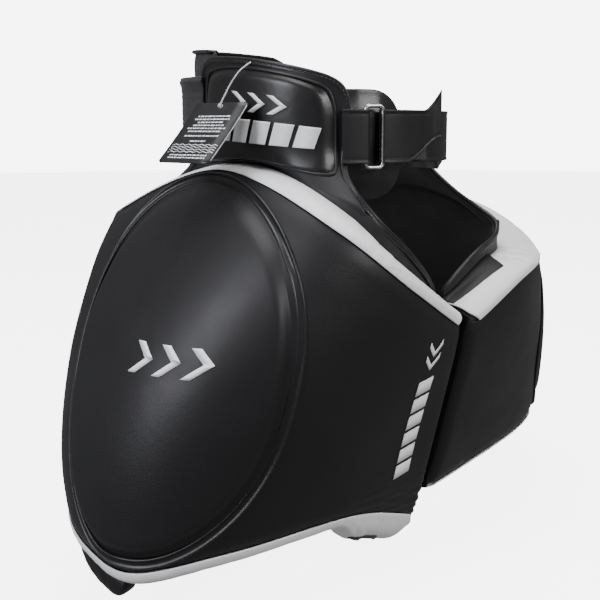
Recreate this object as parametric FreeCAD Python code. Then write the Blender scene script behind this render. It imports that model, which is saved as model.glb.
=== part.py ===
"""Thigh-pad belt set: two mirrored thigh shields hung from a padded waist belt.

Frame: +Z up, the wearer faces -Y, the wearer's right is -X.  The origin is on the wearer's
centre line inside the waist loop, at mid-height of the closing strap.

Every shell piece is a patch of one shared surface.  A shield's plan is a rounded rectangle
(a superellipse) that grows wider and shallower from hip to knee.  The PLAN ANGLE t runs from
0 at the front centre line, past 90 at the outside of the thigh, to the back.  The DEPTH d is
measured inwards from the outer face of the shield.
"""
import os
from math import asin, atan2, copysign, cos, degrees, hypot, pi, radians, sin, tan
from FreeCAD import Vector
import Part

# ---- driving dimensions (mm, degrees) -------------------------------------------------
STATIONS = (-40.0, -235.0, -430.0)       # heights at hip, mid-thigh and knee
HALF_WIDTH = (172.0, 308.0, 334.0)       # of both shields' plan, at those heights
HALF_DEPTH = (261.0, 189.0, 117.0)
PLAN_CENTRE_Y = (25.0, 2.0, -20.0)
PLAN_POWER = 2.7                         # how square the plan's corners are
EDGE_ANGLES = (0.0, 20.0, 45.0, 70.0, 90.0, 117.0)
TOP_EDGE = {"right": (-199.0, -147.0, -85.0, -43.0, -36.0, -85.0),
            "left": (-199.0, -156.0, -138.0, -91.0, -72.0, -94.0)}        # hangs lower behind
BOTTOM_EDGE = {"right": (-418.0, -376.0, -373.0, -386.0, -380.0, -362.0),
               "left": (-385.0, -374.0, -373.0, -386.0, -380.0, -362.0)}
REAR_ANGLE = 117.0                       # the shield ends here, behind the thigh
CENTRE_GAP = 6.6                         # from the centre line to a shield's front edge

PAD_DEPTH = 48.0                         # foam and covers together
HIP_DEPTH = 26.0                         # the same, where the pad thins out at the hip
THINNING = 90.0                          # height over which it thins out
COVER = 2.2                              # leather of the covers and gussets
GAP = 0.8                                # room between neighbouring layers
LINING_GAP = 1.4                         # room between the foam and the lining
TOP_ROLL = (22.0, 6.0)                   # height of the white top gusset, centre and outside
BOTTOM_ROLL = {"right": 21.0, "left": 8.0}
LINING_RISE = 6.0                        # the lining stands this much above the top gusset
KNEE_FLAP = (76.0, 28.0)                 # where it starts, and its drop below the gusset
KNEE_FLAP_DEPTH = (20.0, 34.0)

OVAL_ANGLES = (73.5, 32.0)               # strike pad: plan angle of its middle, and half angle
OVAL_HEIGHTS = {"right": (-207.5, 163.0), "left": (-230.0, 141.5)}    # middle and half height
OVAL_BEND = (4.0, 6.0)                   # how its middle line bends back towards its ends
OVAL_POWER = (2.0, 2.7)                  # squareness above and below its centre
OVAL_RISE = 11.0
OVAL_PIPING = 6.0

WAIST_HALF = {"right": 150.0, "left": 97.0}
WAIST_DEPTH = 135.0
WAIST_CENTRE_Y = -10.0
WAIST_POWER = {"right": 2.6, "left": 2.1}
TAB_THICKNESS = 3.0
TAB_LOW = {"right": (41.0, 116.0), "left": (48.0, 116.0)}     # plan angles at the shield
TAB_HIGH = {"right": (40.0, 116.5), "left": (70.0, 145.0)}    # plan angles round the waist
TAB_FOLD = -24.0                         # height where the tab folds over to the shield
TAB_TOP = {"right": (50.0, 78.0), "left": (12.0, 58.0)}       # its front and back top corners
TAB_CROWN = {"right": 6.0, "left": 0.0}  # how far its top edge rises between them
BINDING = 3.2
BADGE_HEIGHTS = (0.43, 0.94)             # of the badge pad, as shares of the tab's height
PANEL_ENDS = {"right": (15.8, 57.0), "left": (15.8, 75.0)}    # plan angles of the front panels
PANEL_HALF = {"right": (22.0, 34.0), "left": (14.0, 12.0)}    # half height at the end, and its gain
PANEL_MIDDLE = {"right": -8.0, "left": -12.0}
BELT_BULGE = 9.0                         # how far the belt stands out behind the tabs

STRAP_WIDTH = 52.0
STRAP_THICKNESS = 2.4
RING_WIRE = 2.0                          # radius of the ring's wire
RING_HALF = (9.5, 29.5)                  # half width and half height of the front ring
THIGH_STRAP_HEIGHTS = {"upper": -255.0, "lower": -335.0}
THIGH_STRAP_WIDTH = 40.0

TAG_SIZE = (70.0, 80.0)
TAG_CORNER = Vector(-174.0, 18.5, 33.0)
TAG_ALONG = Vector(0.10, -0.995, 0.0)
TAG_DOWN = Vector(-0.66, -0.08, -0.75)
STRING_RADIUS = 0.75
STRING_ROUTE = [(-150.8, -36.5, 72.0), (-159.5, -33.0, 66.5), (-165.5, -26.5, 55.5),
                (-170.5, -21.0, 42.5), (-174.7, -16.8, 30.1)]

SIDES = {"right": -1, "left": 1}


def through(values, z):
    """A smooth value at height z through the three STATIONS."""
    total = 0.0
    for i, value in enumerate(values):
        term = value
        for j, other in enumerate(STATIONS):
            if j != i:
                term *= (z - other) / (STATIONS[i] - other)
        total += term
    return total


def eased(stations, values, t):
    """A smooth curve through the given values (Catmull-Rom)."""
    last = len(stations) - 2
    i = max(k for k in range(last + 1) if k == 0 or t >= stations[k])
    span = stations[i + 1] - stations[i]
    u = (t - stations[i]) / span

    def slope(k):
        low, high = max(k - 1, 0), min(k + 1, last + 1)
        return (values[high] - values[low]) / (stations[high] - stations[low])
    hermite = (2*u**3 - 3*u**2 + 1, u**3 - 2*u**2 + u, 3*u**2 - 2*u**3, u**3 - u**2)
    terms = (values[i], slope(i) * span, values[i + 1], slope(i + 1) * span)
    return sum(h * v for h, v in zip(hermite, terms))


def smooth(x):
    x = min(max(x, 0.0), 1.0)
    return x * x * (3 - 2 * x)


def mix(a, b, u):
    return a + (b - a) * u


def power(x, exponent):
    return copysign(abs(x) ** exponent, x)


def plan_point(side, t, z, half_width, half_depth, centre_y, squareness):
    across, ahead = sin(radians(t)), cos(radians(t))
    size = (abs(across) ** squareness + abs(ahead) ** squareness) ** (-1 / squareness)
    return Vector(side * half_width * size * across, centre_y - half_depth * size * ahead, z)


def shield_point(side, t, z, d):
    """A point of a shield, d inside its outer face."""
    return plan_point(side, t, z, through(HALF_WIDTH, z) - d, through(HALF_DEPTH, z) - d,
                      through(PLAN_CENTRE_Y, z), PLAN_POWER)


def waist_point(name, t, z, d):
    """A point on the waist loop, d inside its outer face."""
    return plan_point(SIDES[name], t, z, WAIST_HALF[name] - d, WAIST_DEPTH - d,
                      WAIST_CENTRE_Y, WAIST_POWER[name])


def pad_depth(z):
    return mix(HIP_DEPTH, PAD_DEPTH, smooth((STATIONS[0] - z) / THINNING))


def front_angle(z, d, x):
    """The plan angle at which the shield's surface is x from the centre line."""
    return degrees(atan2(x / (through(HALF_WIDTH, z) - d), 1.0))


def top_edge(name, t):
    return eased(EDGE_ANGLES, TOP_EDGE[name], t)


def bottom_edge(name, t):
    return eased(EDGE_ANGLES, BOTTOM_EDGE[name], t)


def top_roll(t):
    return mix(TOP_ROLL[0], TOP_ROLL[1], min(t / 90.0, 1.0))


def surface(grid):
    patch = Part.BSplineSurface()
    patch.interpolate(grid)
    return patch


def closed_solid(faces):
    shell = Part.makeShell(faces)
    shell.sewShape()
    solid = Part.makeSolid(shell if shell.ShapeType == "Shell" else shell.Shells[0])
    if solid.Volume < 0:
        solid.reverse()
    return solid


def block(point, nu=14, nv=8):
    """A closed six-sided solid: point(u, v, w) with u, v, w from 0 to 1; w is its thickness."""
    patches = []
    for w in (0.0, 1.0):
        patches.append(surface([[point(i / nu, j / nv, w) for j in range(nv + 1)] for i in range(nu + 1)]))
    near, far = patches
    faces = [near.toShape(), far.toShape()]
    for edge in ("u0", "u1", "v0", "v1"):
        rims = []
        for patch in patches:
            at = patch.bounds()
            if edge[0] == "u":
                rim = patch.uIso(at[0] if edge == "u0" else at[1])
            else:
                rim = patch.vIso(at[2] if edge == "v0" else at[3])
            rims.append(rim.toShape())
        faces.append(Part.makeRuledSurface(rims[0], rims[1]))
    return closed_solid(faces)


def ring_solid(loop):
    """A closed band; loop(k) gives one of its four closed edges, in order round its section."""
    count = 48
    edges = []
    for k in range(4):
        curve = Part.BSplineCurve()
        curve.interpolate(Points=[loop(k, 2 * pi * i / count) for i in range(count)], PeriodicFlag=True,
                          Parameters=[i / count for i in range(count + 1)])
        edges.append(curve.toShape())
    return closed_solid([Part.makeRuledSurface(edges[k], edges[(k + 1) % 4]) for k in range(4)])


def band(points, thickness, low, high, count=36):
    """An upright strap whose inner face follows the plan points."""
    curve = Part.BSplineCurve()
    curve.interpolate(Points=[Vector(x, y, 0) for x, y in points])
    first, last = curve.FirstParameter, curve.LastParameter

    def point(u, v, w):
        at = mix(first, last, u)
        along = curve.tangent(at)[0]
        across = Vector(along.y, -along.x, 0)
        return curve.value(at) + across * (w * thickness) + Vector(0, 0, mix(low, high, v))
    return block(point, count, 2)


def shield_layer(side, near, far, low, high, t_first=None, t_last=REAR_ANGLE - 0.9, nu=26, nv=18):
    """A layer of a shield between depths near(z) and far(z) and edges low(t) and high(t)."""
    def point(u, v, w):
        t = mix(t_first or 2.0, t_last, u)
        for _ in range(3):
            z = mix(low(t), high(t), v)
            d = mix(near(z), far(z), w)
            start = t_first or front_angle(z, d, CENTRE_GAP + COVER + GAP)
            t = mix(start, t_last, u)
        return shield_point(side, t, mix(low(t), high(t), v), d)
    return block(point, nu, nv)


def shield(name):
    """The pieces of one shield, by name."""
    side = SIDES[name]

    def back(z):
        return pad_depth(z) - COVER - LINING_GAP

    def top(t):
        return top_edge(name, t)

    def seam(t):
        return bottom_edge(name, t)

    def bottom(t):
        return seam(t) - BOTTOM_ROLL[name]
    parts = {}
    parts["front_cover"] = shield_layer(side, lambda z: 0.0, lambda z: COVER, seam, top)
    parts["foam_core"] = shield_layer(side, lambda z: COVER + GAP, back, seam, top)
    parts["top_gusset"] = shield_layer(side, lambda z: 0.0, back, lambda t: top(t) + GAP,
                                       lambda t: top(t) + top_roll(t), nv=3)
    parts["bottom_gusset"] = shield_layer(side, lambda z: 0.0, back, bottom, lambda t: seam(t) - GAP, nv=3)
    parts["lining"] = shield_layer(side, lambda z: pad_depth(z) - COVER, pad_depth, bottom,
                                   lambda t: top(t) + top_roll(t) + LINING_RISE * smooth((60 - t) / 30))
    start, drop = KNEE_FLAP
    outer, inner = KNEE_FLAP_DEPTH
    parts["knee_flap"] = shield_layer(side, lambda z: outer, lambda z: inner,
                                      lambda t: bottom(t) - drop * smooth((t - start) / 14 + 0.2),
                                      lambda t: bottom(t) - GAP, t_first=start, nu=8, nv=3)
    parts["centre_gusset"] = centre_gusset(name)
    parts["rear_gusset"] = shield_layer(side, lambda z: 0.0, pad_depth, bottom,
                                        lambda t: top(t) + TOP_ROLL[1], t_first=REAR_ANGLE - 0.65,
                                        t_last=REAR_ANGLE, nu=2, nv=10)
    parts["strike_pad"] = strike_pad(name)
    parts["strike_piping"] = strike_piping(name)
    return parts


def centre_gusset(name):
    """The flat leather end of the shield next to the centre line."""
    side = SIDES[name]
    low, high = bottom_edge(name, 0) - BOTTOM_ROLL[name], top_edge(name, 0) + TOP_ROLL[0]

    def point(u, v, w):
        z = mix(low, high, v)
        y = through(PLAN_CENTRE_Y, z) - through(HALF_DEPTH, z) + mix(0.0, pad_depth(z), u)
        return Vector(side * (CENTRE_GAP + w * COVER), y, z)
    return block(point, 4, 8)


def oval(name, phi, reach, d):
    """A point of the strike pad: phi round its outline, reach 1 at its edge, d below the face."""
    squareness = OVAL_POWER[0] if sin(phi) > 0 else OVAL_POWER[1]
    up = power(sin(phi), 2 / squareness) * reach
    out = power(cos(phi), 2 / squareness) * reach
    t = OVAL_ANGLES[0] + OVAL_BEND[0] * up * up + OVAL_BEND[1] * up + OVAL_ANGLES[1] * out
    middle, half = OVAL_HEIGHTS[name]
    return shield_point(SIDES[name], t, middle + half * up, d)


def strike_pad(name):
    """The raised pad, a square grid drawn out to the oval."""
    def point(u, v, w):
        x, y = 2 * u - 1, 2 * v - 1
        reach = max(abs(x), abs(y))
        if reach < 1e-9:
            phi = 0.0
        else:
            across, up = x * (1 - y * y / 2) ** 0.5, y * (1 - x * x / 2) ** 0.5
            size = hypot(across, up)
            phi = _angle(across / size, up / size)
            reach = size
        rise = OVAL_RISE * (0.55 + 0.45 * (1 - reach ** 4))
        return oval(name, phi, reach * 0.985, -mix(GAP, rise, w))
    return block(point, 16, 16)


def _angle(c, s):
    """The oval's phi whose cosine and sine have these directions."""
    squareness = OVAL_POWER[0] if s > 0 else OVAL_POWER[1]
    c, s = power(c, squareness / 2), power(s, squareness / 2)
    size = hypot(c, s)
    angle = asin(max(-1.0, min(1.0, s / size)))
    return angle if c >= 0 else pi - angle


def strike_piping(name):
    """The piping sewn round the strike pad."""
    corners = ((1.012, GAP), (1.045, GAP), (1.045, OVAL_PIPING), (1.012, OVAL_PIPING))

    def loop(k, phi):
        reach, height = corners[k]
        return oval(name, phi, reach, -height)
    return ring_solid(loop)


def tab_curves(name, u):
    """Foot, fold and top of the hip tab at u, from its front edge to its back edge."""
    side = SIDES[name]
    t_low = mix(*TAB_LOW[name], u)
    t_high = mix(*TAB_HIGH[name], u)
    foot_z = top_edge(name, t_low) + top_roll(t_low) + LINING_GAP + LINING_RISE * smooth((60 - t_low) / 30)
    foot = shield_point(side, t_low, foot_z, pad_depth(foot_z) - TAB_THICKNESS)
    fold = waist_point(name, t_high, TAB_FOLD, 0)
    top = waist_point(name, t_high, mix(*TAB_TOP[name], u ** 0.8) + TAB_CROWN[name] * sin(pi * u), 0)
    return foot, fold, top


def tab_point(name, u, v, d):
    """A point of the hip tab: v 0 at its foot, 0.4 at the fold, 1 at its top edge."""
    foot, fold, top = tab_curves(name, u)
    if v < 0.4:
        s = v / 0.4
        at = foot + (fold - foot) * s
        at.z = mix(foot.z, fold.z, s)
    else:
        at = fold + (top - fold) * ((v - 0.4) / 0.6)
    outwards = Vector(SIDES[name] * 1.0, 0, 0)
    if d:
        t_high = mix(*TAB_HIGH[name], u)
        near, far = waist_point(name, t_high, 0, 0), waist_point(name, t_high, 0, 1.0)
        outwards = (near - far).normalize()
    return at - outwards * d


def hip_tab(name):
    return block(lambda u, v, w: tab_point(name, u, v, w * TAB_THICKNESS), 16, 15)


def tab_binding(name):
    """The bound rim along the tab's top edge."""
    def point(u, v, w):
        at = tab_point(name, u, 1.0, mix(-0.8, TAB_THICKNESS + 0.8, v))
        return at + Vector(0, 0, mix(GAP, BINDING, w))
    return block(point, 16, 2)


def badge_pad(name):
    """The raised square pad on the tab."""
    def point(u, v, w):
        crown = 5.0 + 3.0 * sin(pi * u) * sin(pi * v)
        return tab_point(name, mix(0.07, 0.9, u), mix(*BADGE_HEIGHTS, v), -mix(GAP, crown, w))
    return block(point, 12, 8)


def front_panel(name):
    """The padded panel behind the closure, rounded at its free end."""
    half, gain = PANEL_HALF[name]

    def point(u, v, w):
        t = mix(*PANEL_ENDS[name], u)
        end = (1 - (1 - min(u / 0.35, 1.0)) ** 2) ** 0.5
        z = PANEL_MIDDLE[name] + (half + gain * end) * (2 * v - 1)
        swell = 2.0 * sin(pi * v) * sin(pi * min(u + 0.15, 1.0))
        return waist_point(name, t, z, mix(TAB_THICKNESS + 1.6, 11.5 + swell, w))
    return block(point, 14, 8)


def waist_run(name, angles, d):
    """Plan points along the waist loop."""
    return [(p.x, p.y) for p in (waist_point(name, t, 0, d) for t in angles)]


def belt_bulge(t):
    """How far the belt stands outside the waist loop at this plan angle."""
    return BELT_BULGE * sin(pi * min(max((t - 117.5) / 45.5, 0.0), 1.0)) ** 2


def back_belt():
    """The padded lumbar panel round the back, from one tab to the other."""
    sweep = (109.0, 180.0, 224.0)        # right-hand tab, middle of the back, left-hand tab

    def point(u, v, w):
        t = mix(sweep[0], sweep[2], u)
        d = mix(TAB_THICKNESS + 1.0, 12.0, w)
        low, high = -20.0, 86.0 + 7.0 * sin(pi * u) - 22.0 * smooth((u - 0.7) / 0.3)
        z = mix(low, high, v)
        if t <= sweep[1]:
            return waist_point("right", t, z, d - belt_bulge(t))
        return waist_point("left", 360.0 - t, z, d)
    return block(point, 30, 6)


def side_strap(name):
    """Elastic strap that bulges outside the gap between hip tab and back panel."""
    first, last = {"right": (112.0, 139.0), "left": (140.5, 167.5)}[name]
    low, high = 10.0, 62.0

    def point(u, v, w):
        t = mix(first, last, u)
        bulge = belt_bulge(t) if name == "right" else 0.0
        d = -1.0 - 8.0 * sin(pi * u) - bulge - w * STRAP_THICKNESS
        return waist_point(name, t, mix(low, high, v), d)
    return block(point, 12, 3)


def ring_frame():
    """Centre and direction of the front ring, which lies flat on the closure."""
    centre = waist_point("right", 30.4, 0, -5.0)
    ahead = waist_point("right", 25.0, 0, -5.0) - waist_point("right", 35.5, 0, -5.0)
    return centre, ahead.normalize()


def wire_ring(centre, along, half_width, half_height, radius):
    """A rounded rectangular ring of round wire."""
    up = Vector(0, 0, 1)
    corner = 2.2 * radius
    edges = []
    signs = ((1, -1), (1, 1), (-1, 1), (-1, -1))
    for k, (a, b) in enumerate(signs):
        c, e = signs[(k + 1) % 4]
        turn = centre + along * (a * half_width) + up * (b * half_height)
        ahead = centre + along * (c * half_width) + up * (e * half_height)
        heading = (ahead - turn).normalize()
        before = signs[k - 1]
        back = (centre + along * (before[0] * half_width) + up * (before[1] * half_height) - turn).normalize()
        start, end = turn + back * corner, turn + heading * corner
        middle = turn + (back + heading) * (corner * (1 - 0.5 ** 0.5))
        edges.append(Part.Arc(start, middle, end).toShape())
        edges.append(Part.LineSegment(end, ahead - heading * corner).toShape())
    path = Part.Wire(edges)
    first = edges[1].Vertexes[0].Point
    profile = Part.Wire(Part.makeCircle(radius, first, edges[1].tangentAt(edges[1].FirstParameter)))
    rotated = Part.Wire(edges[1:] + edges[:1])
    return rotated.makePipeShell([profile], True, False)


def turned(centre, along, radius, start, end, count=7):
    """Plan points on an arc round a ring's bar; angle 0 points along, 90 away from the wearer."""
    across = Vector(along.y, -along.x, 0)
    points = []
    for i in range(count):
        angle = radians(mix(start, end, i / (count - 1)))
        at = centre + along * (radius * cos(angle)) + across * (radius * sin(angle))
        points.append((at.x, at.y))
    return points


def closure():
    """Ring loop, ring, closing strap with its free end, and the hook patch between them."""
    centre, along = ring_frame()
    reach = RING_WIRE + 0.5
    far_bar, near_bar = centre - along * RING_HALF[0], centre + along * RING_HALF[0]
    half = STRAP_WIDTH / 2
    parts = {"front_ring": wire_ring(centre, along, RING_HALF[0], RING_HALF[1], RING_WIRE)}
    loop = waist_run("right", (42.0, 38.5), -2.8) + turned(far_bar, along, reach, -95, 95)
    loop += waist_run("right", (38.5, 42.0), -8.2)
    parts["ring_loop"] = band(loop, -1.6, -half, half)
    base = turned(near_bar, along, reach, -150, -95, 3) + waist_run("right", (21.9, 12.5), -0.5)
    base += waist_run("left", (7.4, 24.7, 44.2, 65.3), -0.5)
    parts["closing_strap"] = band(base, -STRAP_THICKNESS + 0.6, -half, half)
    outer = turned(near_bar, along, reach, 105, 92, 2) + waist_run("right", (21.9, 14.5), -9.0)
    outer += [(-20.0, -154.2), (-12.0, -155.8), (-5.0, -160.0)]
    parts["closing_strap_end"] = band(outer, STRAP_THICKNESS, -half, half)
    patch = waist_run("right", (20.9, 13.0, 6.5), -5.6)
    parts["strap_hook_patch"] = band(patch, 1.6, -half + 3, half - 3, 12)
    return parts


def thigh_strap(name, level):
    """Strap behind one thigh, its ring, its ring strap and its free tail."""
    side, middle = SIDES[name], THIGH_STRAP_HEIGHTS[level]
    half = THIGH_STRAP_WIDTH / 2
    low, high = middle - half, middle + half

    def inner(t, away, height):
        """A plan point that far inside the lining at this height."""
        at = shield_point(1, t, height, PAD_DEPTH + away)
        return at.x, at.y
    ring_at, along = Vector(48.0, 12.0, middle), Vector(-0.38, -0.925, 0)
    reach = RING_WIRE + 0.5
    far_bar, near_bar = ring_at - along * 8.0, ring_at + along * 8.0
    long_run = [inner(98, 2.6, high), inner(106, 4.0, high)]
    long_run += [(236.0, 76.0), (203.0, 111.0), (158.0, 121.0), (112.0, 102.0), (68.0, 58.0)]
    long_run += turned(far_bar, along, reach, 265, 310, 3)
    wall_y = inner(12, 3.6, low)[1]
    short_run = turned(near_bar, along, reach, 125, 95, 2)
    short_run += [(36.0, -25.0), (27.0, mix(-25.0, wall_y, 0.45)), (34.0, wall_y + 12.0)]
    short_run += [inner(t, 3.8, low) for t in (12, 17, 23)]
    tail = turned(far_bar, along, reach, 75, 88, 2) + [(63.0, 61.0), (108.0, 108.5), (150.0, 124.0)]
    solids = {
        "strap": band(long_run, -STRAP_THICKNESS + 0.4, low, high),
        "ring_strap": band(short_run, STRAP_THICKNESS - 0.4, low, high),
        "strap_tail": band(tail, 0.4 - STRAP_THICKNESS, low, high),
        "ring": wire_ring(ring_at, along, 8.0, half + 3.0, RING_WIRE),
    }
    if side < 0:
        solids = {part: solid.mirror(Vector(0, 0, 0), Vector(1, 0, 0)) for part, solid in solids.items()}
    return {f"{level}_{part}": solid for part, solid in solids.items()}


def tag():
    """The hang tag, a card with an eyelet hole."""
    along, down = Vector(TAG_ALONG).normalize(), Vector(TAG_DOWN)
    down = (down - along * down.dot(along)).normalize()
    width, height = TAG_SIZE
    corners = [TAG_CORNER, TAG_CORNER + along * width, TAG_CORNER + along * width + down * height,
               TAG_CORNER + down * height]
    face = Part.Face(Part.makePolygon(corners + corners[:1]))
    normal = along.cross(down)
    card = face.extrude(normal * 0.8)
    eyelet = TAG_CORNER + along * (width / 2) + down * 5.0 - normal * 2
    return card.cut(Part.makeCylinder(1.8, 5.0, eyelet, normal))


def tag_string():
    """The tag's string: straight runs joined by tangent arcs."""
    route = [Vector(*p) for p in STRING_ROUTE]
    edges, start = [], route[0]
    for before, at, after in zip(route, route[1:], route[2:]):
        back, ahead = before - at, after - at
        turn = pi - back.getAngle(ahead)
        trim = 0.45 * min(back.Length, ahead.Length)
        back.normalize(), ahead.normalize()
        radius = trim / tan(turn / 2)
        print("string arc radius", round(radius, 1))
        begin, end = at + back * trim, at + ahead * trim
        centre = at + (back + ahead).normalize() * (radius / cos(turn / 2))
        middle = centre + (at - centre).normalize() * radius
        edges += [Part.LineSegment(start, begin).toShape(), Part.Arc(begin, middle, end).toShape()]
        start = end
    edges.append(Part.LineSegment(start, route[-1]).toShape())
    path = Part.Wire(edges)
    profile = Part.Wire(Part.makeCircle(STRING_RADIUS, route[0], route[1] - route[0]))
    tube = path.makePipeShell([profile], True, False)
    ideal = pi * STRING_RADIUS**2 * path.Length
    print("string length", round(path.Length, 1), "volume ratio", round(tube.Volume / ideal, 4))
    return tube


def main():
    os.makedirs("parts", exist_ok=True)
    nodes = {"back_belt": back_belt(), "tag": tag(), "tag_string": tag_string()}
    nodes.update(closure())
    for name in SIDES:
        pieces = shield(name)
        pieces["hip_tab"] = hip_tab(name)
        pieces["tab_binding"] = tab_binding(name)
        pieces["badge_pad"] = badge_pad(name)
        pieces["front_panel"] = front_panel(name)
        pieces["side_strap"] = side_strap(name)
        for level in THIGH_STRAP_HEIGHTS:
            pieces.update(thigh_strap(name, level))
        nodes.update({f"{name}_{part}": solid for part, solid in pieces.items()})
    for node, shape in sorted(nodes.items()):
        shape.exportStep(f"parts/{node}.step")
        box = shape.BoundBox
        print(f"{node:28s} valid {shape.isValid()} solids {len(shape.Solids)}"
              f" volume {shape.Volume / 1000:8.1f} cm3  x {box.XMin:6.1f} {box.XMax:6.1f}"
              f"  y {box.YMin:6.1f} {box.YMax:6.1f}  z {box.ZMin:6.1f} {box.ZMax:6.1f}")


main()
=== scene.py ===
"""Looks of a thigh-pad belt set: two mirrored thigh shields hung from a padded waist belt.

Metres, in the model's frame: +Z up, the wearer faces -Y, the wearer's right is -X.  The shields
and the belt are patches of two shared surfaces.  The PLAN ANGLE t runs from 0 at the front centre
line, past 90 at the outside, to the back, and the DEPTH d is measured inwards from the outer face.
"""
from math import atan2, copysign, cos, degrees, exp, hypot, pi, radians, sin

import bmesh
import bpy
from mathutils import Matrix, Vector, noise


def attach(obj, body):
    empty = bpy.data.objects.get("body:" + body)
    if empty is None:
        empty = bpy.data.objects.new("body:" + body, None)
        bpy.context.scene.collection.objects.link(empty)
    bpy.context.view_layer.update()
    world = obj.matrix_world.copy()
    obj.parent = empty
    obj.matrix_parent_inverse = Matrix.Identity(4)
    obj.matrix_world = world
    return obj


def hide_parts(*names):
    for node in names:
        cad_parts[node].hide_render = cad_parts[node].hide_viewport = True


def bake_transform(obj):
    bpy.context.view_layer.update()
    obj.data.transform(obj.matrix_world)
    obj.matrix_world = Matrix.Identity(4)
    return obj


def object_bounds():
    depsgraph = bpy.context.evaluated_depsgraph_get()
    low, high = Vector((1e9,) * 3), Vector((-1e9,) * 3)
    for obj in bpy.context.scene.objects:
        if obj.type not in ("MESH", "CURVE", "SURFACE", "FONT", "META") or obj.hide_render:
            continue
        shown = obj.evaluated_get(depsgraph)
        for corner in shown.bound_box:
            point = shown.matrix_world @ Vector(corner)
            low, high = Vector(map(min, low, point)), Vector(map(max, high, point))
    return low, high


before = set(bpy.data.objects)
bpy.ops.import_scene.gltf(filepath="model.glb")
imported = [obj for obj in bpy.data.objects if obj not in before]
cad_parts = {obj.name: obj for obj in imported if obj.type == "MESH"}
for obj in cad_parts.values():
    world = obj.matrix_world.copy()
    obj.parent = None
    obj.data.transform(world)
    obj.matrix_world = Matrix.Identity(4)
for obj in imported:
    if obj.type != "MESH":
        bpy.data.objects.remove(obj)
cad_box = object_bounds()

SIDES = {"right": -1, "left": 1}

# ---- the shared surfaces (metres, degrees) ----------------------------------------------
STATIONS = (-0.040, -0.235, -0.430)
HALF_WIDTH = (0.172, 0.308, 0.334)
HALF_DEPTH = (0.261, 0.189, 0.117)
PLAN_CENTRE_Y = (0.025, 0.002, -0.020)
PLAN_POWER = 2.7
EDGE_ANGLES = (0.0, 20.0, 45.0, 70.0, 90.0, 117.0)
TOP_EDGE = {"right": (-0.199, -0.147, -0.085, -0.043, -0.036, -0.085),
            "left": (-0.199, -0.156, -0.138, -0.091, -0.072, -0.094)}
BOTTOM_EDGE = {"right": (-0.418, -0.376, -0.373, -0.386, -0.380, -0.362),
               "left": (-0.385, -0.374, -0.373, -0.386, -0.380, -0.362)}
REAR_ANGLE = 117.0
CENTRE_GAP = 0.0066
PAD_DEPTH, HIP_DEPTH, THINNING = 0.048, 0.026, 0.090
COVER = 0.0022
TOP_ROLL, BOTTOM_ROLL = (0.022, 0.006), {"right": 0.021, "left": 0.008}
LINING_RISE = 0.006
END_RADIUS = 0.012                       # how round the leather turns at a shield's front end
END_TURN = 0.055                         # the share of the face's width that this turn takes

OVAL_ANGLES, OVAL_BEND = (73.5, 32.0), (4.0, 6.0)
OVAL_HEIGHTS = {"right": (-0.2075, 0.163), "left": (-0.230, 0.1415)}
OVAL_POWER = (2.0, 2.7)
PAD_FULLNESS = {"right": 1.0, "left": 0.6}

WAIST_HALF, WAIST_POWER = {"right": 0.150, "left": 0.097}, {"right": 2.6, "left": 2.1}
WAIST_DEPTH, WAIST_CENTRE_Y = 0.135, -0.010
TAB_THICKNESS, TAB_FOLD = 0.003, -0.024
TAB_LOW = {"right": (41.0, 116.0), "left": (48.0, 116.0)}
TAB_HIGH = {"right": (40.0, 116.5), "left": (70.0, 145.0)}
TAB_TOP = {"right": (0.050, 0.078), "left": (0.012, 0.058)}
TAB_CROWN = {"right": 0.006, "left": 0.0}

STRAP_WIDTH, STRAP_THICKNESS = 0.052, 0.0024
RING_WIRE, RING_HALF_WIDTH = 0.002, 0.0095
THIGH_STRAP_HEIGHTS = {"upper": -0.255, "lower": -0.335}
THIGH_STRAP_WIDTH = 0.040

TAG_SIZE = (0.070, 0.080)
TAG_CORNER = Vector((-0.174, 0.0185, 0.033))
TAG_ALONG, TAG_DOWN = Vector((0.10, -0.995, 0.0)), Vector((-0.66, -0.08, -0.75))
STRING_ROUTE = [(-0.1508, -0.0365, 0.0720), (-0.1595, -0.0330, 0.0665), (-0.1655, -0.0265, 0.0555),
                (-0.1705, -0.0210, 0.0425), (-0.1747, -0.0168, 0.0301)]


def mix(a, b, u):
    return a + (b - a) * u


def smooth(x):
    x = min(max(x, 0.0), 1.0)
    return x * x * (3 - 2 * x)


def bell(x, width):
    return exp(-(x / width) ** 2)


def power(x, exponent):
    return copysign(abs(x) ** exponent, x)


def uneven(x, y, z):
    """Slow smooth noise between -1 and 1, the same in every run."""
    return noise.noise(Vector((x, y, z)))


def hermite(a, slope_a, b, slope_b, u):
    """The cubic from a to b with these slopes at its ends."""
    return (a * (2*u**3 - 3*u**2 + 1) + slope_a * (u**3 - 2*u**2 + u)
            + b * (3*u**2 - 2*u**3) + slope_b * (u**3 - u**2))


def through(values, z):
    """A smooth value at height z through the three STATIONS."""
    total = 0.0
    for i, value in enumerate(values):
        term = value
        for j, other in enumerate(STATIONS):
            if j != i:
                term *= (z - other) / (STATIONS[i] - other)
        total += term
    return total


def eased(stations, values, t):
    """A smooth curve through the given values (Catmull-Rom)."""
    last = len(stations) - 2
    i = max(k for k in range(last + 1) if k == 0 or t >= stations[k])
    span = stations[i + 1] - stations[i]

    def slope(k):
        low, high = max(k - 1, 0), min(k + 1, last + 1)
        return (values[high] - values[low]) / (stations[high] - stations[low]) * span
    return hermite(values[i], slope(i), values[i + 1], slope(i + 1), (t - stations[i]) / span)


def plan_point(side, t, z, half_width, half_depth, centre_y, squareness):
    across, ahead = sin(radians(t)), cos(radians(t))
    size = (abs(across) ** squareness + abs(ahead) ** squareness) ** (-1 / squareness)
    return Vector((side * half_width * size * across, centre_y - half_depth * size * ahead, z))


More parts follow.
